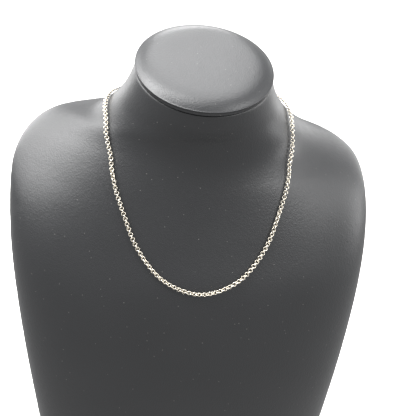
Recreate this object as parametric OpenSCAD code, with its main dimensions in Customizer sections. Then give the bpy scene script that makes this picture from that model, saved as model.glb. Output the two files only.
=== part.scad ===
// Rolo chain necklace, worn by the plain neck bust that it is shown on.
// The bust stands on its flat base, faces -Y, and has +Z up. Millimetres.

/* [Neck bust] */
// Height of the middle of the slanted neck top above the base
bust_h = 288.5; // [260:0.5:310]
// Greatest width, across the upper arms
bust_w = 233; // [205:1:255]
// Greatest depth, from chest to shoulder blades
bust_d = 118; // [105:1:130]
// Radius of the round neck top
neck_r = 41; // [36:0.5:44]
// Forward slant of the neck top, in degrees
neck_tilt = 25; // [18:1:30]
// How far the middle of the neck top lies in front of the middle of the bust
neck_forward = 4; // [0:0.5:8]
// How much the shoulders slope to +X: one is raised by this much and the other lowered
shoulder_lean = 4.2; // [0:0.1:8]

/* [Neck cap] */
// How far the padded cap stands out past the neck top
cap_overhang = 0.5; // [0:0.1:2]
// Height of the cap's upright edge above the neck top
cap_edge_h = 4; // [3:0.1:6]
// Height of the padded crown above that edge
cap_crown_h = 3.6; // [2:0.1:5]
// Width of the rounded border of the crown
cap_border = 8; // [5:0.5:12]
// Gap between the neck top and the cap
cap_gap = 0.3; // [0.2:0.1:1]

/* [Chain] */
// Outer diameter of a link
link_d = 2.8; // [2.74:0.02:3]
// Width of the domed wire, along the link's axis
wire_w = 0.8; // [0.6:0.02:0.84]
// Thickness of the domed wire, across the link's wall
wire_t = 0.5; // [0.36:0.02:0.52]
// Distance from one link's middle to the next along the chain, near enough
link_pitch = 1.6; // [1.5:0.01:1.62]
// Links modelled one by one on each side of the lowest link
links_a_side = 104; // [96:1:110]
// Gap between the chain and what it lies on or ends at
chain_gap = 0.2; // [0.15:0.05:0.5]

/* [Clasp] */
// Outer diameter of the clasp's ring
clasp_d = 6.2; // [5:0.1:7]
// Thickness of the clasp's tube
clasp_tube = 1.3; // [1:0.1:1.6]
// Outer diameter of the small loops at the clasp's two ends
loop_d = 2.8; // [2.6:0.1:3.2]
// Thickness of the loops' wire
loop_wire = 0.5; // [0.4:0.05:0.6]

/* [Hidden] */

half_w = bust_w / 2;
half_d = bust_d / 2;
neck_y = -neck_forward;
cap_r = neck_r + cap_overhang;

// Level bands of the bust from the base up, as shares: heights of bust_h, widths of half_w,
// depths of half_d and leans of shoulder_lean. Each band climbs or dips from its sides to its
// front and back. [side height, half width, side depth, front height, front depth, back height,
// back depth, lean]
SECTIONS = [
    [0,     0.79,  -0.29, 0,     -0.89,  0,     0.46,  0],
    [0.155, 0.85,  -0.29, 0.155, -0.96,  0.155, 0.53,  0],
    [0.31,  0.905, -0.29, 0.31,  -1,     0.31,  0.61,  0],
    [0.45,  0.95,  -0.25, 0.445, -0.98,  0.45,  0.695, 0],
    [0.57,  0.982, -0.17, 0.555, -0.91,  0.575, 0.78,  0],
    [0.67,  1,     -0.02, 0.638, -0.765, 0.685, 0.865, 0],
    [0.743, 1,     0.2,   0.704, -0.655, 0.755, 0.95,  0],
    [0.79,  0.977, 0.44,  0.758, -0.58,  0.8,   1,     0.15],
    [0.824, 0.905, 0.6,   0.797, -0.535, 0.83,  1,     0.7],
    [0.848, 0.803, 0.63,  0.825, -0.522, 0.856, 0.965, 1],
    [0.867, 0.683, 0.51,  0.85,  -0.535, 0.88,  0.865, 0.9],
    [0.89,  0.549, 0.28,  0.874, -0.568, 0.917, 0.76,  0.2],
];
// Slanted bands of the neck, as shares of neck_r measured from the neck top.
// [drop, half width, half depth, side set back, middle set back, share of the slant]
NECK = [
    [0.51, 1.265, 0.905,          0.25, 0.126, 0.6],
    [0.28, 1.11,  0.897,          0.1,  0.058, 0.83],
    [0,    1,     cos(neck_tilt), 0,   0,     1],
];
RINGS_PER_BAND = 3;
RING_POINTS = 48;
CAP_UNDER_BEVEL = 0.8;
CAP_BORDER_POINTS = 8;

// The chain's lie on the right half of the bust, from the lowest link to the clasp:
// [band of the bust, counted with parts of a band; turn from the front, in degrees]
ROUTE = [
    [4.15, 0], [4.25, 6.5], [4.5, 12.5], [4.9, 17], [5.4, 20.5], [6, 23], [6.8, 26],
    [7.7, 29.5], [8.7, 34], [9.8, 43], [10.6, 54], [11.2, 67.5], [11.5, 82], [11.6, 97],
    [11.55, 115], [11.35, 135], [11.1, 157], [11.05, 180],
];
// How far the odd links are rolled from lying flat on the bust, by link number: minus is
// the wearer's right. The even links stand square to their neighbours.
ROLL = [[-104, -10], [-92, 30], [-80, 50], [-64, 72], [-54, -13], [-32, -5], [-27, 25],
    [16, 14], [20, -6], [34, -11], [43, 21], [49, 62], [56, 60], [68, -38], [76, -50],
    [88, -75], [104, -110]];
// Steps in which the route is measured between two of its points
ROUTE_STEPS = 10;
// Small steps that give the skin's slope, in degrees and in bands, and the route's, in points
TURN_STEP = 0.5;
BAND_STEP = 0.02;
POINT_STEP = 0.02;
TUBE_SIDES = 8;
TUBE_RINGS = 12;

function section_row(s) = [s[0] * bust_h, s[1] * half_w, s[2] * half_d, s[3] * bust_h,
    s[4] * half_d, s[5] * bust_h, s[6] * half_d, s[7] * shoulder_lean];
function neck_row(n) =
    let (side_z = bust_h - n[0] * neck_r)
    let (rise = n[5] * neck_r * sin(neck_tilt))
    let (mid_y = neck_y + n[4] * neck_r)
    [side_z, n[1] * neck_r, neck_y + n[3] * neck_r, side_z - rise, mid_y - n[2] * neck_r,
        side_z + rise, mid_y + n[2] * neck_r, 0];
ROWS = concat([for (s = SECTIONS) section_row(s)], [for (n = NECK) neck_row(n)]);
TOP_BAND = len(ROWS) - 1;

// A smooth curve through a list of points or rows, t counting the points
function blend4(a, b, c, d, u) = 0.5 * (2 * b + (c - a) * u + (2 * a - 5 * b + 4 * c - d) * u * u
    + (3 * b - a - 3 * c + d) * u * u * u);
function along(list, t, before, after) =
    let (last = len(list) - 1)
    let (i = max(0, min(last - 1, floor(t))))
    blend4(i > 0 ? list[i - 1] : before, list[i], list[i + 1], i + 2 <= last ? list[i + 2] : after,
        t - i);
function row_at(t) = along(ROWS, t, 2 * ROWS[0] - ROWS[1], 2 * ROWS[TOP_BAND] - ROWS[TOP_BAND - 1]);

// A point of the bust's skin: turn 0 is the front, 90 the +X side and 180 the back
function skin_on(row, turn) =
    let (s = -cos(turn))
    [row[1] * sin(turn),
        row[2] + s * (row[6] - row[4]) / 2 + s * s * ((row[6] + row[4]) / 2 - row[2]),
        row[0] + s * (row[5] - row[3]) / 2 + s * s * ((row[5] + row[3]) / 2 - row[0])
            - row[7] * sin(turn)];
function skin(t, turn) = skin_on(row_at(t), turn);
function unit(v) = v / norm(v);
function skin_normal(t, turn) = unit(cross(
    skin(t, turn + TURN_STEP) - skin(t, turn - TURN_STEP),
    skin(t + BAND_STEP, turn) - skin(t - BAND_STEP, turn)));

// The chain's middle line, u counting the points of the route. side is 1 for the half that
// runs over the +X shoulder and -1 for the other
chain_lift = link_d / 2 + chain_gap;
route_end = len(ROUTE) - 1;
function route_at(u) = along(ROUTE, u, [ROUTE[1][0], -ROUTE[1][1]],
    [ROUTE[route_end - 1][0], 360 - ROUTE[route_end - 1][1]]);
function route_normal(u, side) = let (r = route_at(u)) skin_normal(r[0], side * r[1]);
function route_point(u, side) = let (r = route_at(u))
    skin(r[0], side * r[1]) + chain_lift * route_normal(u, side);

// Pairs of [length along one half, u], and that half's whole length up to the middle of the back
STEPS = [for (k = [0 : route_end * ROUTE_STEPS]) k / ROUTE_STEPS];
function running_total(stops) = [for (k = 0, total = 0; k < len(stops); k = k + 1,
    total = total + (k < len(stops) ? norm(stops[k] - stops[k - 1]) : 0)) total];
function u_by_length(side) =
    let (totals = running_total([for (u = STEPS) route_point(u, side)]))
    [for (k = [0 : len(STEPS) - 1]) [totals[k], STEPS[k]]];
U_PLUS = u_by_length(1);
U_MINUS = u_by_length(-1);
function half_length(side) = let (pairs = side > 0 ? U_PLUS : U_MINUS) pairs[len(pairs) - 1][0];

// The clasp takes the middle of the back, and whole links fill the rest of each half. Its
// loops are sunk into its tube by this share of their wire
LOOP_SINK = 0.8;
loop_reach = clasp_d / 2 + loop_d / 2 - loop_wire * LOOP_SINK;
clasp_reach = loop_reach + link_pitch;
links_to_clasp = round(((half_length(1) + half_length(-1)) / 2 - clasp_reach) / link_pitch);
function link_step(side) = (half_length(side) - clasp_reach) / links_to_clasp;

// The place at a length from the lowest link: point, tangent towards +X at the front, normal
function place(length, side) =
    let (u = lookup(length, side > 0 ? U_PLUS : U_MINUS))
    let (near = max(0, u - POINT_STEP), far = min(route_end, u + POINT_STEP))
    let (tangent = side * unit(route_point(far, side) - route_point(near, side)))
    let (normal = route_normal(u, side))
    [route_point(u, side), tangent, unit(normal - (normal * tangent) * tangent)];
function place_of_link(i) = let (side = i < 0 ? -1 : 1) place(abs(i) * link_step(side), side);

// Moves its child so that its X runs along the place's tangent and its Z along the normal
module at_place(p, roll = 0) {
    x = p[1];
    y = cross(p[2], p[1]);
    z = p[2];
    multmatrix([[x[0], y[0], z[0], p[0][0]], [x[1], y[1], z[1], p[0][1]],
        [x[2], y[2], z[2], p[0][2]]])
        rotate([roll, 0, 0])
            children();
}

// A closed skin through rings of points, all with the same count, from first to last
module lofted(rings) {
    n = len(rings[0]);
    last = len(rings) - 1;
    points = [for (r = rings) each r];
    sides = [for (k = [0 : last - 1], j = [0 : n - 1])
        let (a = k * n + j, b = k * n + (j + 1) % n)
        each [[a, a + n, b + n], [a, b + n, b]]];
    polyhedron(points, concat(sides, [[for (j = [0 : n - 1]) j]],
        [[for (j = [n - 1 : -1 : 0]) last * n + j]]));
}

module neck_bust() {
    rings = TOP_BAND * RINGS_PER_BAND;
    color("#3c3d40")
        lofted([for (k = [0 : rings]) let (row = row_at(k / RINGS_PER_BAND))
            [for (j = [0 : RING_POINTS - 1]) skin_on(row, j * 360 / RING_POINTS)]]);
}

// The cap is a padded disc with an upright edge, a rounded border and a flat crown
module neck_cap() {
    bend = (cap_border * cap_border + cap_crown_h * cap_crown_h) / (2 * cap_crown_h);
    border = [for (k = [CAP_BORDER_POINTS : -1 : 0])
        let (a = asin(cap_border / bend) * k / CAP_BORDER_POINTS)
        [cap_r - cap_border + bend * sin(a), cap_edge_h + cap_crown_h - bend * (1 - cos(a))]];
    color("#8f9092")
        translate([0, neck_y, bust_h])
            rotate([neck_tilt, 0, 0])
                rotate_extrude($fn = 96)
                    polygon(concat([[0, cap_gap], [cap_r - CAP_UNDER_BEVEL, cap_gap],
                        [cap_r, cap_gap + CAP_UNDER_BEVEL]], border,
                        [[0, cap_edge_h + cap_crown_h]]));
}

// One link: wire that is domed outside and inside, bent into a ring round Z
wire_round = (wire_w * wire_w + wire_t * wire_t) / (4 * wire_t);
module link() {
    rotate_extrude($fn = 36)
        intersection() {
            translate([link_d / 2 - wire_round, 0])
                circle(r = wire_round, $fn = 24);
            translate([link_d / 2 - wire_t + wire_round, 0])
                circle(r = wire_round, $fn = 24);
        }
}

module chain_front() {
    color("#e4e2dc")
        for (i = [-links_a_side : links_a_side])
            at_place(place_of_link(i), lookup(i, ROLL) + (i % 2 == 0 ? 90 : 0))
                link();
}

// The stretch behind the neck, from the last modelled link to the clasp, is a plain tube
module nape(side) {
    start = links_a_side * link_step(side) + link_d / 2 + chain_gap;
    end = half_length(side) - loop_reach - loop_d / 2 - chain_gap;
    color("#e4e2dc")
        lofted([for (k = [0 : TUBE_RINGS])
            let (p = place(start + (end - start) * k / TUBE_RINGS, side))
            [for (j = [0 : TUBE_SIDES - 1])
                let (a = -side * j * 360 / TUBE_SIDES)
                p[0] + link_d / 2 * (cos(a) * p[2] + sin(a) * cross(p[2], p[1]))]]);
}
module nape_left() nape(-1);
module nape_right() nape(1);

module ring(outer, wire) {
    rotate_extrude($fn = 48)
        translate([(outer - wire) / 2, 0])
            circle(d = wire, $fn = 24);
}

// The clasp is one plain piece: a tube ring with a small loop for each end of the chain
module clasp() {
    color("#e4e2dc")
        at_place(place(half_length(1), 1)) {
            ring(clasp_d, clasp_tube);
            for (side = [-1, 1])
                translate([side * loop_reach, 0, 0])
                    ring(loop_d, loop_wire);
        }
}

neck_bust();
neck_cap();
chain_front();
nape_left();
nape_right();
clasp();
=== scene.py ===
# %% [markdown]
# # A rolo chain on a neck bust
#
# A rolo chain is a chain of round rings, each turned square to the next. This one is fine silver, with
# rings of oval wire, and it lies on a shop's neck bust: a firm form covered in matt black leatherette,
# with a round padded cap where the head would be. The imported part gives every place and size. Here each
# piece gets its surface: the bust a smooth cover, the cap its padding, and the chain its wire.

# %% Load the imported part
import math

import bmesh
import bpy
import numpy as np
from mathutils import Matrix, Vector


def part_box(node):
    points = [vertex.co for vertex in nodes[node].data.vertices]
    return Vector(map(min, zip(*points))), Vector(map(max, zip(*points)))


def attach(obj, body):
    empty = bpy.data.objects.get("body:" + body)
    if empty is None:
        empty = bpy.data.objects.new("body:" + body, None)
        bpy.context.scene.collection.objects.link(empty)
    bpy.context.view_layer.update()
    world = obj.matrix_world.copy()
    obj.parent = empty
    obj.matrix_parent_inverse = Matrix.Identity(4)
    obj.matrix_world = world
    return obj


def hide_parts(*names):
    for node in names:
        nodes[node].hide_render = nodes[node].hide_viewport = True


MM = 0.001
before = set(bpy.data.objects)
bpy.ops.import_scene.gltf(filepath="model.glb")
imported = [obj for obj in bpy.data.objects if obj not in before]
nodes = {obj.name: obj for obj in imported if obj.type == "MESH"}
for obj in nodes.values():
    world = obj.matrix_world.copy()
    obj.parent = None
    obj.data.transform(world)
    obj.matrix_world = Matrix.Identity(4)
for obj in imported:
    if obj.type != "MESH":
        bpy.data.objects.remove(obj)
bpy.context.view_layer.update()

# %% [markdown]
# Some helpers are used by every piece. An operator works on all that is selected, so each one starts from
# an empty selection. Vertices and faces are then chosen by their place, which stays right when the part
# changes its size.

# %% Helpers for picking and shaping
MERGE_DISTANCE = 0.001 * MM
SUBDIVISIONS = 2


def pick(piece):
    """Make this piece the only selected and active one."""
    bpy.ops.object.select_all(action="DESELECT")
    piece.select_set(True)
    bpy.context.view_layer.objects.active = piece


def pick_in_edit_mode(piece, vertex_test):
    """Enter edit mode with only the vertices selected whose place passes the test."""
    pick(piece)
    bpy.ops.object.mode_set(mode="EDIT")
    bpy.ops.mesh.select_mode(type="VERT")
    bpy.ops.mesh.select_all(action="DESELECT")
    cage = bmesh.from_edit_mesh(piece.data)
    for vertex in cage.verts:
        vertex.select_set(vertex_test(vertex.co))
    cage.select_flush(True)
    bmesh.update_edit_mesh(piece.data)


def leave_edit_mode():
    bpy.ops.object.mode_set(mode="OBJECT")


def round_off(piece):
    """Turn the piece's facets into one smooth skin."""
    smoothing = piece.modifiers.new("rounded skin", "SUBSURF")
    smoothing.levels = SUBDIVISIONS
    smoothing.render_levels = SUBDIVISIONS
    pick(piece)
    bpy.ops.object.modifier_apply(modifier=smoothing.name)
    bpy.ops.object.shade_smooth()


def copy_of_node(name, node):
    """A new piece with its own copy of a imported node's triangles, joined up into one skin."""
    piece = bpy.data.objects.new(name, nodes[node].data.copy())
    bpy.context.scene.collection.objects.link(piece)
    piece.data.materials.clear()
    pick(piece)
    bpy.ops.object.mode_set(mode="EDIT")
    bpy.ops.mesh.select_all(action="SELECT")
    bpy.ops.mesh.remove_doubles(threshold=MERGE_DISTANCE)
    leave_edit_mode()
    return piece


def triangles_in(piece):
    piece.data.calc_loop_triangles()
    return len(piece.data.loop_triangles)


# %% [markdown]
# The camera stands where the photographer stood: a little above the bust, looking down at it, a step to
# the wearer's right. It is held slightly askew, so that the neck leans to the right in the picture.

# %% Camera
CAMERA_PLACE = Vector((-67.8, -437.8, 390.0)) * MM
# Angles in degrees
CAMERA_TURN = 9.96
CAMERA_DOWN = 23.4
CAMERA_ROLL = 4.28
# The focal length and the picture's width in pixels, and the sensor's width in mm
FOCAL_PIXELS = 745.7
PICTURE_PIXELS = 416
SENSOR = 36.0
NEAREST_SEEN = 10 * MM

camera_data = bpy.data.cameras.new("camera")
camera_data.sensor_width = SENSOR
camera_data.lens = SENSOR * FOCAL_PIXELS / PICTURE_PIXELS
camera_data.clip_start = NEAREST_SEEN
camera = bpy.data.objects.new("camera", camera_data)
bpy.context.scene.collection.objects.link(camera)
camera.matrix_world = (
    Matrix.Translation(CAMERA_PLACE)
    @ Matrix.Rotation(math.radians(-CAMERA_TURN), 4, "Z")
    @ Matrix.Rotation(math.radians(90 - CAMERA_DOWN), 4, "X")
    @ Matrix.Rotation(math.radians(CAMERA_ROLL), 4, "Z")
)
bpy.context.scene.camera = camera
print("lens in mm:", round(camera_data.lens, 1))

# %% [markdown]
# ## The bust's cover
#
# The real bust is a hard form with thin leatherette drawn tight over it, so its surface is one smooth
# skin with no folds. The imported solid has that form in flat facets. A copy of it, turned back into a grid
# of four-sided faces, makes a good cage for a subdivision surface, which rounds the facets away.

# %% The bust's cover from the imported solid
BASE_ROUND = 2.5 * MM
TOP_ROUND = 1.2 * MM
FLAT_TOLERANCE = 0.02 * MM
# The tilt of the neck's top towards the front, in degrees
NECK_SLANT = 25.0
# A face is part of the base or of the slanted top where the cosine between their directions is above this
BASE_LIKENESS = 0.999
TOP_LIKENESS = 0.9995
# Two triangles become one four-sided face where they bend by less than the first angle, in degrees, and
# its corners are off a right angle by less than the second
QUAD_BEND = 60
QUAD_SKEW = 80

bust = copy_of_node("bust_cover", "neck_bust")
base_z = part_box("neck_bust")[0].z
slant_normal = Vector((0, -math.sin(math.radians(NECK_SLANT)), math.cos(math.radians(NECK_SLANT))))


def closes_base(face):
    return face.normal.z < -BASE_LIKENESS and face.calc_center_median().z < base_z + FLAT_TOLERANCE


def closes_top(face):
    return face.normal.dot(slant_normal) > TOP_LIKENESS


def flatten_end(piece, face_test):
    """Turn the triangles that close one end into a single flat face, and leave it selected."""
    pick(piece)
    bpy.ops.object.mode_set(mode="EDIT")
    bpy.ops.mesh.select_mode(type="FACE")
    bpy.ops.mesh.select_all(action="DESELECT")
    cage = bmesh.from_edit_mesh(piece.data)
    for face in cage.faces:
        face.select_set(face_test(face))
    bmesh.update_edit_mesh(piece.data)
    bpy.ops.mesh.dissolve_faces()


flatten_end(bust, closes_base)
bpy.ops.mesh.bevel(offset=BASE_ROUND, segments=3, affect="EDGES")
leave_edit_mode()
flatten_end(bust, closes_top)
bpy.ops.mesh.bevel(offset=TOP_ROUND, segments=2, affect="EDGES")
bpy.ops.mesh.select_all(action="SELECT")
bpy.ops.mesh.tris_convert_to_quads(
    face_threshold=math.radians(QUAD_BEND), shape_threshold=math.radians(QUAD_SKEW)
)
leave_edit_mode()
round_off(bust)
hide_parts("neck_bust")
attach(bust, "root")
print("bust cover:", triangles_in(bust), "triangles")

# %% [markdown]
# ## The padded cap
#
# The cap is a disc of board with foam on it, covered in the same leatherette. The cover is pulled round
# the edge and tucked under, which gives a low upright band, a thin lip that stands out above it, and a
# soft border that slopes down to the lip. The cap is modelled lying flat at the origin, from a circle
# that is extruded and scaled ring by ring, and then laid on the slanted neck.

# %% The cap, ring by ring
NECK_TOP = Vector((0, -4.0, 288.5)) * MM
CAP_SIDES = 64
# One ring after the other up the cap's side and over its border: (radius, height) in mm
CAP_RINGS = [
    (40.7, 0.3),
    (41.2, 0.6),
    (41.2, 1.2),
    (41.2, 2.75),
    (41.45, 3.0),
    (41.5, 3.3),
    (41.4, 3.55),
    (41.0, 3.64),
    (40.6, 3.86),
    (39.6, 4.46),
    (38.2, 5.22),
    (36.5, 5.96),
    (34.5, 6.61),
    (32.0, 7.14),
    (28.5, 7.48),
    (24.0, 7.58),
    (16.0, 7.6),
    (9.0, 7.6),
]

first_radius, first_height = CAP_RINGS[0]
bpy.ops.object.select_all(action="DESELECT")
bpy.ops.mesh.primitive_circle_add(
    vertices=CAP_SIDES, radius=first_radius * MM, fill_type="NGON", location=(0, 0, first_height * MM)
)
cap = bpy.context.active_object
cap.name = "cap_pad"
bpy.ops.object.transform_apply(location=True)
bpy.ops.object.mode_set(mode="EDIT")
bpy.ops.mesh.select_all(action="SELECT")
for (radius, height), (next_radius, next_height) in zip(CAP_RINGS, CAP_RINGS[1:]):
    rise = (next_height - height) * MM
    bpy.ops.mesh.extrude_region_move(TRANSFORM_OT_translate={"value": (0, 0, rise)})
    share = next_radius / radius
    bpy.ops.transform.resize(value=(share, share, 1))
bpy.ops.mesh.select_all(action="SELECT")
bpy.ops.mesh.normals_make_consistent(inside=False)
leave_edit_mode()
print("cap cage:", len(CAP_RINGS), "rings of", CAP_SIDES, "sides")

# %% [markdown]
# Foam under a tight cover is never quite even. Three soft hollows and swells, less than half a millimetre
# deep, keep the crown from looking turned on a lathe. They are made by moving one vertex with
# proportional editing, which carries its neighbours along.

# %% Soft unevenness of the padding
# (x, y, push, reach) in mm, seen from above with the front at -y
PAD_SWELLS = [(-17, 8, -0.35, 20), (16, -10, 0.3, 18), (6, 20, -0.25, 16)]
CROWN_DEPTH = 1.0 * MM
SAME_PLACE = 0.01 * MM

crown_height = CAP_RINGS[-1][1] * MM
for x, y, push, reach in PAD_SWELLS:
    spot = Vector((x, y, 0)) * MM + Vector((0, 0, crown_height))
    crown = [v.co for v in cap.data.vertices if v.co.z > crown_height - CROWN_DEPTH]
    nearest = min(crown, key=lambda co: (co - spot).length).copy()
    pick_in_edit_mode(cap, lambda co: (co - nearest).length < SAME_PLACE)
    bpy.ops.transform.translate(
        value=(0, 0, push * MM),
        use_proportional_edit=True,
        proportional_edit_falloff="SMOOTH",
        proportional_size=reach * MM,
    )
    leave_edit_mode()

round_off(cap)
cap.data.transform(Matrix.Translation(NECK_TOP) @ Matrix.Rotation(math.radians(NECK_SLANT), 4, "X"))
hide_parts("neck_cap")
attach(cap, "root")
print("cap:", triangles_in(cap), "triangles")

# %% [markdown]
# ## One link
#
# A rolo link is cut from a coil of oval wire and closed by a solder joint that polishing hides. The wire
# is wider than it is thick, so the rings look stout from the side. One link is spun from the wire's
# outline in few steps: it is under three millimetres across and there are hundreds, so it stays light.

# %% A link of oval wire
LINK_DIAMETER = 2.8 * MM
WIRE_WIDTH = 0.8 * MM
WIRE_THICKNESS = 0.5 * MM
LINK_STEPS = 12
WIRE_SIDES = 5


def wire_outline():
    """Points of the wire's section as (distance from the link's axis, height)."""
    middle = (LINK_DIAMETER - WIRE_THICKNESS) / 2
    turns = [2 * math.pi * k / WIRE_SIDES for k in range(WIRE_SIDES)]
    return [(middle + WIRE_THICKNESS / 2 * math.cos(a), WIRE_WIDTH / 2 * math.sin(a)) for a in turns]


def make_link():
    """A link lying flat at the origin, round Z."""
    outline = wire_outline()
    mesh = bpy.data.meshes.new("link")
    edges = [(k, (k + 1) % len(outline)) for k in range(len(outline))]
    mesh.from_pydata([(r, 0, h) for r, h in outline], edges, [])
    piece = bpy.data.objects.new("link", mesh)
    bpy.context.scene.collection.objects.link(piece)
    pick(piece)
    bpy.ops.object.mode_set(mode="EDIT")
    bpy.ops.mesh.select_all(action="SELECT")
    bpy.ops.mesh.spin(steps=LINK_STEPS, angle=2 * math.pi, center=(0, 0, 0), axis=(0, 0, 1))
    bpy.ops.mesh.select_all(action="SELECT")
    bpy.ops.mesh.remove_doubles(threshold=MERGE_DISTANCE)
    bpy.ops.mesh.normals_make_consistent(inside=False)
    leave_edit_mode()
    bpy.ops.object.shade_smooth()
    return piece


link = make_link()
print("one link:", len(link.data.polygons), "faces")

# %% [markdown]
# ## Where the links lie
#
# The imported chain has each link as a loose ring. Split into its loose parts, each ring gives its middle,
# and the direction in which it is thinnest is its axis. Walking from one end to the nearest ring not yet
# visited puts them in order, and two neighbours give the way the chain runs.

# %% Read the links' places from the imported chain
def ring_place(points):
    """Middle and axis of a ring from its points."""
    middle = points.mean(axis=0)
    spread = np.linalg.svd(points - middle, full_matrices=False)[2]
    return middle, spread[2]


def places_of_packed_links():
    copy_of_node("packed chain", "chain_front")
    bpy.ops.mesh.separate(type="LOOSE")
    rings = list(bpy.context.selected_objects)
    found = []
    for ring in rings:
        flat = np.empty(len(ring.data.vertices) * 3)
        ring.data.vertices.foreach_get("co", flat)
        found.append(ring_place(flat.reshape(-1, 3)))
    for ring in rings:
        mesh = ring.data
        bpy.data.objects.remove(ring)
        bpy.data.meshes.remove(mesh)
    return found


def walk(places, start):
    """The places in the order met on a walk that begins nearest to start."""
    left = list(places)
    here = np.array(start)
    ordered = []
    while left:
        k = int(np.argmin([np.linalg.norm(middle - here) for middle, axis in left]))
        ordered.append(left.pop(k))
        here = ordered[-1][0]
    return ordered


def middle_of(node):
    low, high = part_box(node)
    return (low + high) / 2


front_places = walk(places_of_packed_links(), middle_of("nape_left"))
spacing = np.mean([np.linalg.norm(b[0] - a[0]) for a, b in zip(front_places, front_places[1:])])
print("links at the front:", len(front_places), "spacing in mm:", round(spacing / MM, 3))

# %% [markdown]
# ## The links behind the neck
#
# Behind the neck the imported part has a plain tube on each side. Cut through by upright planes that all
# pass through the neck, each tube gives its middle line point by point. Links of the same form are strung
# along that line to the clasp's loop, and they turn evenly from the last front link to the one that hooks
# into the loop, each square to its neighbour.

# %% The tubes' middle lines
NAPE_CUTS = 14
# The share of a tube's turn about the neck that is left out at each of its flat ends
TUBE_END_SHARE = 0.04


def cut_middle(points, edges, turn):
    """The middle of the tube where the upright plane at this turn about the neck cuts it."""
    along = np.array([math.cos(turn), math.sin(turn), 0])
    across = np.array([-math.sin(turn), math.cos(turn), 0])
    side = points @ across
    a, b = edges[:, 0], edges[:, 1]
    cut = (side[a] * side[b] < 0) & (points[a] @ along > 0)
    share = side[a][cut] / (side[a][cut] - side[b][cut])
    crossings = points[a][cut] + share[:, None] * (points[b][cut] - points[a][cut])
    return (crossings.min(axis=0) + crossings.max(axis=0)) / 2


def tube_line(node):
    """Points along a nape tube's middle line, from its front end towards the clasp."""
    tube = copy_of_node("tube copy", node)
    points = np.array([v.co for v in tube.data.vertices])
    edges = np.array([e.vertices[:] for e in tube.data.edges])
    bpy.data.objects.remove(tube)
    neck_middle = np.array([0, NECK_TOP.y, 0])
    points = points - neck_middle
    turns = np.arctan2(points[:, 1], points[:, 0])
    first, last = (turns.min(), turns.max()) if points[0, 0] > 0 else (turns.max(), turns.min())
    margin = (last - first) * TUBE_END_SHARE
    cuts = np.linspace(first + margin, last - margin, NAPE_CUTS)
    return [cut_middle(points, edges, turn) + neck_middle for turn in cuts]


nape_lines = {node: tube_line(node) for node in ("nape_left", "nape_right")}
for node, line in nape_lines.items():
    print(node, "middle line in mm:", round(np.linalg.norm(np.diff(line, axis=0), axis=1).sum() / MM, 1))

# %% [markdown]
# A smooth curve runs through the last two front links, the tube's middle line and the clasp's loop. As
# many links go on it as fit at the front's spacing, shared out evenly. Each one's turn is counted about
# the curve, from the direction that points straight out of the bust.

# %% Links along the tubes' lines
CURVE_STEPS = 400
LOOK_AHEAD = 0.3 * MM
# From the middle of the clasp to the middle of the loop at its end
LOOP_REACH = 4.1 * MM
# The loop lies flat on the bust, so the last link stands on edge against it
LAST_TURN = math.radians(90)


def smooth_line(points):
    """A finely stepped curve through the points, with the length run so far at each step."""
    points = np.array(points)
    marks = np.concatenate([[0], np.cumsum(np.linalg.norm(np.diff(points, axis=0), axis=1))])
    slopes = np.gradient(points, marks, axis=0)
    fine = np.linspace(0, marks[-1], CURVE_STEPS)
    k = np.clip(np.searchsorted(marks, fine, side="right") - 1, 0, len(marks) - 2)
    gap = (marks[k + 1] - marks[k])[:, None]
    u = ((fine - marks[k])[:, None]) / gap
    curve = (
        (2 * u**3 - 3 * u**2 + 1) * points[k]
        + (u**3 - 2 * u**2 + u) * gap * slopes[k]
        + (3 * u**2 - 2 * u**3) * points[k + 1]
        + (u**3 - u**2) * gap * slopes[k + 1]
    )
    lengths = np.concatenate([[0], np.cumsum(np.linalg.norm(np.diff(curve, axis=0), axis=1))])
    return curve, lengths


def outward_at(point):
    """The bust's outward direction under a point."""
    found, place, normal, face = bust.closest_point_on_mesh(Vector(point))
    return np.array(normal)


def turn_about(axis, vector, reference):
    """The angle of vector about axis, counted from reference, in radians."""
    flat = reference - (reference @ axis) * axis
    flat = flat / np.linalg.norm(flat)
    across = np.cross(axis, flat)
    return math.atan2(vector @ across, vector @ flat)


def points_at(stops, curve, lengths):
    """The points of the curve at these lengths."""
    return np.array([[np.interp(stop, lengths, curve[:, i]) for i in range(3)] for stop in stops])


def nape_places(last_two, line, loop_middle):
    """Middle and axis of each link between the last front link and the clasp's loop."""
    before_middle = last_two[0][0]
    last_middle, last_axis = last_two[1]
    curve, lengths = smooth_line([before_middle, last_middle] + line + [np.array(loop_middle)])
    start = np.linalg.norm(last_middle - before_middle)
    room = lengths[-1] - start
    count = round(room / spacing) - 1
    stops = start + room * np.arange(1, count + 1) / (count + 1)
    middles = points_at(stops, curve, lengths)
    ahead = points_at(stops + LOOK_AHEAD, curve, lengths)
    runs = (ahead - middles) / np.linalg.norm(ahead - middles, axis=1)[:, None]
    first_turn = turn_about((last_middle - before_middle) / start, last_axis, outward_at(last_middle))
    # What is left over after a quarter turn for each link is shared out as a slight twist
    twist = LAST_TURN - first_turn - count * math.pi / 2
    twist = (twist + math.pi / 2) % math.pi - math.pi / 2
    found = []
    for k, (middle, run) in enumerate(zip(middles, runs), 1):
        turn = first_turn + k * math.pi / 2 + twist * k / count
        out = outward_at(middle)
        out = out - (out @ run) * run
        out = out / np.linalg.norm(out)
        across = np.cross(run, out)
        found.append((middle, math.cos(turn) * out + math.sin(turn) * across))
    return found


clasp_middle = middle_of("clasp")
to_loop = Vector((LOOP_REACH, 0, 0))
nape_left = nape_places(
    [front_places[1], front_places[0]], nape_lines["nape_left"], clasp_middle - to_loop
)
nape_right = nape_places(
    [front_places[-2], front_places[-1]], nape_lines["nape_right"], clasp_middle + to_loop
)
print("links behind the neck:", len(nape_left), "and", len(nape_right))

# %% [markdown]
# Now a copy of the link goes to every place, with its axis as found and its side along the chain's run.
# The copies of one stretch are joined into a single piece.

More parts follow.
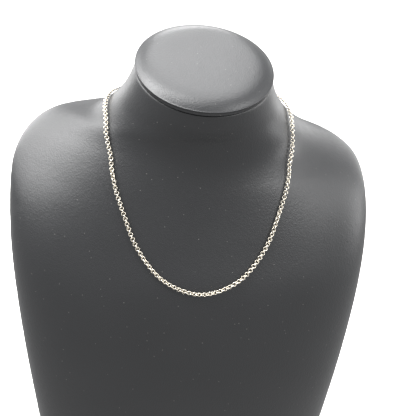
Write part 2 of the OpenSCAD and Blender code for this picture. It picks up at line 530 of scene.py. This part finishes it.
# %% Hang a link at every place
def string_of_links(name, places, node):
    """Copies of the link, one at each place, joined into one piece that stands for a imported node."""
    middles = [middle for middle, axis in places]
    copies = []
    for k, (middle, axis) in enumerate(places):
        run = Vector(middles[min(k + 1, len(middles) - 1)] - middles[max(k - 1, 0)]).normalized()
        up = Vector(axis).normalized()
        across = up.cross(run).normalized()
        run = across.cross(up)
        turned = Matrix((run, across, up)).transposed().to_4x4()
        piece = bpy.data.objects.new(name, link.data.copy())
        bpy.context.scene.collection.objects.link(piece)
        piece.data.transform(Matrix.Translation(Vector(middle)) @ turned)
        copies.append(piece)
    bpy.ops.object.select_all(action="DESELECT")
    for piece in copies:
        piece.select_set(True)
    bpy.context.view_layer.objects.active = copies[0]
    bpy.ops.object.join()
    whole = bpy.context.active_object
    whole.name = name
    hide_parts(node)
    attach(whole, "root")
    print(name + ":", triangles_in(whole), "triangles")
    return whole


front_links = string_of_links("front_links", front_places, "chain_front")
nape_links_left = string_of_links("nape_links_left", nape_left, "nape_left")
nape_links_right = string_of_links("nape_links_right", nape_right, "nape_right")
bpy.data.objects.remove(link)

# %% [markdown]
# ## Materials
#
# A material is a small net of nodes. One helper adds a node with its settings and wires, and one function
# turns a colour as picked in a picture into the linear values that the renderer wants.

# %% Helpers for materials
def linear(hex_colour):
    """An sRGB colour such as 3C3D40 as linear red, green, blue and full alpha."""
    channels = [int(hex_colour[k : k + 2], 16) / 255 for k in (0, 2, 4)]
    return [c / 12.92 if c <= 0.04045 else ((c + 0.055) / 1.055) ** 2.4 for c in channels] + [1.0]


def new_material(name):
    material = bpy.data.materials.new(name)
    material.use_nodes = True
    return material, material.node_tree.nodes["Principled BSDF"]


def add_node(material, kind, settings=None, **links):
    """Add a node. settings name its properties or sockets; links wire a socket to another's output."""
    node = material.node_tree.nodes.new(kind)
    for name, value in (settings or {}).items():
        if name in node.inputs:
            node.inputs[name].default_value = value
        else:
            setattr(node, name, value)
    for name, output in links.items():
        material.node_tree.links.new(output, node.inputs[name.replace("_", " ")])
    return node


def wire(material, output, socket):
    material.node_tree.links.new(output, socket)


def mixed(material, factor, first, second):
    """A mix of two colours by a factor. Each is an sRGB colour or the output of another node."""
    mix = add_node(material, "ShaderNodeMix", {"data_type": "RGBA"})
    wire(material, factor, mix.inputs["Factor"])
    # The colour sockets of this node are the seventh and the eighth, and its colour comes out third
    for socket, colour in ((mix.inputs[6], first), (mix.inputs[7], second)):
        if isinstance(colour, str):
            socket.default_value = linear(colour)
        else:
            wire(material, colour, socket)
    return mix.outputs[2]


def scale_for(size):
    """The scale of a texture whose features are this many mm wide."""
    return 1 / (size * MM)


# %% [markdown]
# Leatherette is cloth with a coat of soft PVC, pressed by a grained roller. The coat is black and matt:
# it hardly shines when seen square on, and takes a grey veil where light grazes it. The roller leaves a
# pebble grain under a millimetre wide, with some unevenness of the cloth below. A black thing in a shop
# also catches dust, here as faint specks some millimetres apart.

# %% Pressed black leatherette
# Widths in mm
GRAIN = 0.9
CLOTH_WAVE = 2.4
CLOUD = 40
DUST_SPACING = 4.6
DUST_SIZE = 0.3
# The depth of the grain in mm, and how much of it shows
GRAIN_DEPTH = 0.1
GRAIN_STRENGTH = 0.65
DUST_COLOUR = "B4B2AC"
DUST_COVER = 0.45


def leatherette(name, dark, worn, smooth, rough):
    """Black leatherette between two colours, as new and as rubbed, and between two roughnesses."""
    material, shader = new_material(name)
    place = add_node(material, "ShaderNodeTexCoord").outputs["Object"]
    grain = add_node(
        material, "ShaderNodeTexVoronoi",
        {"feature": "SMOOTH_F1", "Scale": scale_for(GRAIN), "Smoothness": 0.6}, Vector=place,
    )
    cloth = add_node(
        material, "ShaderNodeTexNoise", {"Scale": scale_for(CLOTH_WAVE), "Detail": 3.0}, Vector=place
    )
    height = add_node(material, "ShaderNodeMath", {"operation": "ADD"})
    wire(material, grain.outputs["Distance"], height.inputs[0])
    wire(material, cloth.outputs["Fac"], height.inputs[1])
    bump = add_node(
        material, "ShaderNodeBump", {"Strength": GRAIN_STRENGTH, "Distance": GRAIN_DEPTH * MM},
        Height=height.outputs["Value"],
    )
    wire(material, bump.outputs["Normal"], shader.inputs["Normal"])

    cloud = add_node(
        material, "ShaderNodeTexNoise", {"Scale": scale_for(CLOUD), "Detail": 4.0}, Vector=place
    )
    tone = mixed(material, cloud.outputs["Fac"], dark, worn)
    sheen = add_node(
        material, "ShaderNodeMapRange", {"To Min": smooth, "To Max": rough},
        Value=cloth.outputs["Fac"],
    )
    wire(material, sheen.outputs["Result"], shader.inputs["Roughness"])

    dust = add_node(material, "ShaderNodeTexVoronoi", {"Scale": scale_for(DUST_SPACING)}, Vector=place)
    speck = add_node(
        material, "ShaderNodeMapRange",
        {"From Min": 0, "From Max": DUST_SIZE / DUST_SPACING, "To Min": DUST_COVER, "To Max": 0},
        Value=dust.outputs["Distance"],
    )
    dusty = mixed(material, speck.outputs["Result"], tone, DUST_COLOUR)
    wire(material, dusty, shader.inputs["Base Color"])
    return material


bust.data.materials.append(
    leatherette("pressed leatherette", "141517", "1B1C1E", smooth=0.36, rough=0.46)
)
# The cap is the same leatherette as the bust, but both of its tones are painted a shade lighter. This is
# painted light for the light from above that greys its upturned top.
cap.data.materials.append(
    leatherette("pressed leatherette, drawn over foam, painted lighter", "1A1B1D", "212224", smooth=0.34, rough=0.42)
)
for piece in (bust, cap):
    print(piece.name, "is covered in:", piece.data.materials[0].name)

# %% [markdown]
# The chain is sterling silver, tumbled to a bright polish. Silver is the whitest of metals, a little warm,
# and mirrors what is round it, so most of its look comes from the light. A thin tarnish from handling
# takes it down a little, more in one place than in another.

# %% Polished silver
# The width in mm of a spot that handling has dulled
HANDLING = 1.5
SILVER_BRIGHT = "EEE8DB"
SILVER_TARNISHED = "C2BAAA"
SILVER_SMOOTHEST = 0.16
SILVER_ROUGHEST = 0.3


def polished_silver():
    """Silver between a bright and a slightly tarnished tone."""
    material, shader = new_material("polished sterling silver")
    shader.inputs["Metallic"].default_value = 1.0
    place = add_node(material, "ShaderNodeTexCoord").outputs["Object"]
    handling = add_node(
        material, "ShaderNodeTexNoise", {"Scale": scale_for(HANDLING), "Detail": 2.0}, Vector=place
    )
    tone = mixed(material, handling.outputs["Fac"], SILVER_BRIGHT, SILVER_TARNISHED)
    wire(material, tone, shader.inputs["Base Color"])
    polish = add_node(
        material, "ShaderNodeMapRange", {"To Min": SILVER_SMOOTHEST, "To Max": SILVER_ROUGHEST},
        Value=handling.outputs["Fac"],
    )
    wire(material, polish.outputs["Result"], shader.inputs["Roughness"])
    return material


silver = polished_silver()
clasp = nodes["clasp"]
for piece in (front_links, nape_links_left, nape_links_right, clasp):
    piece.data.materials.clear()
    piece.data.materials.append(silver)
    print(piece.name, "is of:", silver.name)

# %% [markdown]
# ## Floor and light
#
# The bust stands on a pale floor. A photographer keeps the glare of a white table off black leather, or
# its lower part turns grey, so the floor is left out here from what the pieces mirror and from the light
# that reaches them.

# %% Floor
FLOOR_SIZE = 8.0

bpy.ops.object.select_all(action="DESELECT")
bpy.ops.mesh.primitive_plane_add(size=FLOOR_SIZE, location=(0, 0, 0))
floor = bpy.context.active_object
floor.name = "floor"
floor_material, floor_shader = new_material("pale floor")
floor_shader.inputs["Base Color"].default_value = linear("F7F7F5")
floor_shader.inputs["Roughness"].default_value = 0.8
floor.data.materials.append(floor_material)
floor.visible_glossy = False
floor.visible_diffuse = False
print("floor:", FLOOR_SIZE, "m across, of:", floor_material.name)

# %% [markdown]
# The room is white and bright. Its windows lie to the left and behind, and give the left shoulder and the
# left of the cap the palest veil. Lamps above stand for the ceiling, which greys the cap and the tops of
# the shoulders. Those to the right give the other shoulder its softer grey. The chest, which faces the
# camera, stays dark. One more hangs far behind the bust and brightens the floor in the background.

# %% Lamps
BUST_MIDDLE = (0, 0, 0.2)
FAR_FLOOR = (0.2, 2.4, 0)
ROOM_LIGHT = 0.9
# name: (place in metres, what it is aimed at, diameter in metres, watts)
LAMPS = {
    "window, behind left": ((-0.9, 0.7, 0.9), BUST_MIDDLE, 0.9, 10),
    "window, low, behind left": ((-0.7, 1.2, 0.4), BUST_MIDDLE, 0.7, 5),
    "window, high left": ((-1.1, 0.0, 1.0), BUST_MIDDLE, 0.8, 8),
    "window, front left": ((-1.0, -0.5, 1.1), BUST_MIDDLE, 0.5, 4),
    "small lamp, near left": ((-0.35, 0.1, 0.6), BUST_MIDDLE, 0.3, 1),
    "ceiling, left": ((-0.65, -0.05, 1.2), BUST_MIDDLE, 0.5, 12),
    "ceiling, front": ((-0.3, -0.25, 1.3), BUST_MIDDLE, 0.6, 7),
    "ceiling": ((0.0, 0.2, 1.3), BUST_MIDDLE, 1.0, 14),
    "ceiling, behind": ((0.1, 0.7, 1.2), BUST_MIDDLE, 0.8, 3),
    "right": ((1.2, 0.0, 0.4), BUST_MIDDLE, 0.6, 5),
    "low right, behind": ((1.0, 0.9, 0.4), BUST_MIDDLE, 0.8, 4),
    "high right": ((1.1, 0.0, 1.0), BUST_MIDDLE, 0.8, 2),
    "front right": ((0.8, -0.7, 1.0), BUST_MIDDLE, 0.7, 11),
    "background": ((0.2, 2.4, 1.6), FAR_FLOOR, 1.2, 40),
}
for name, (place, aim, size, watts) in LAMPS.items():
    lamp_data = bpy.data.lights.new(name, "AREA")
    lamp_data.shape = "DISK"
    lamp_data.size = size
    lamp_data.energy = watts
    lamp = bpy.data.objects.new(name, lamp_data)
    bpy.context.scene.collection.objects.link(lamp)
    lamp.location = place
    lamp.rotation_euler = (Vector(aim) - Vector(place)).to_track_quat("-Z", "Y").to_euler()

world = bpy.data.worlds.new("white room")
bpy.context.scene.world = world
world.use_nodes = True
background = world.node_tree.nodes["Background"]
background.inputs["Color"].default_value = (1, 1, 1, 1)
background.inputs["Strength"].default_value = ROOM_LIGHT
bpy.context.scene.view_settings.view_transform = "Standard"
print("lamps:", len(LAMPS), "with", sum(watts for place, aim, size, watts in LAMPS.values()), "W in all")
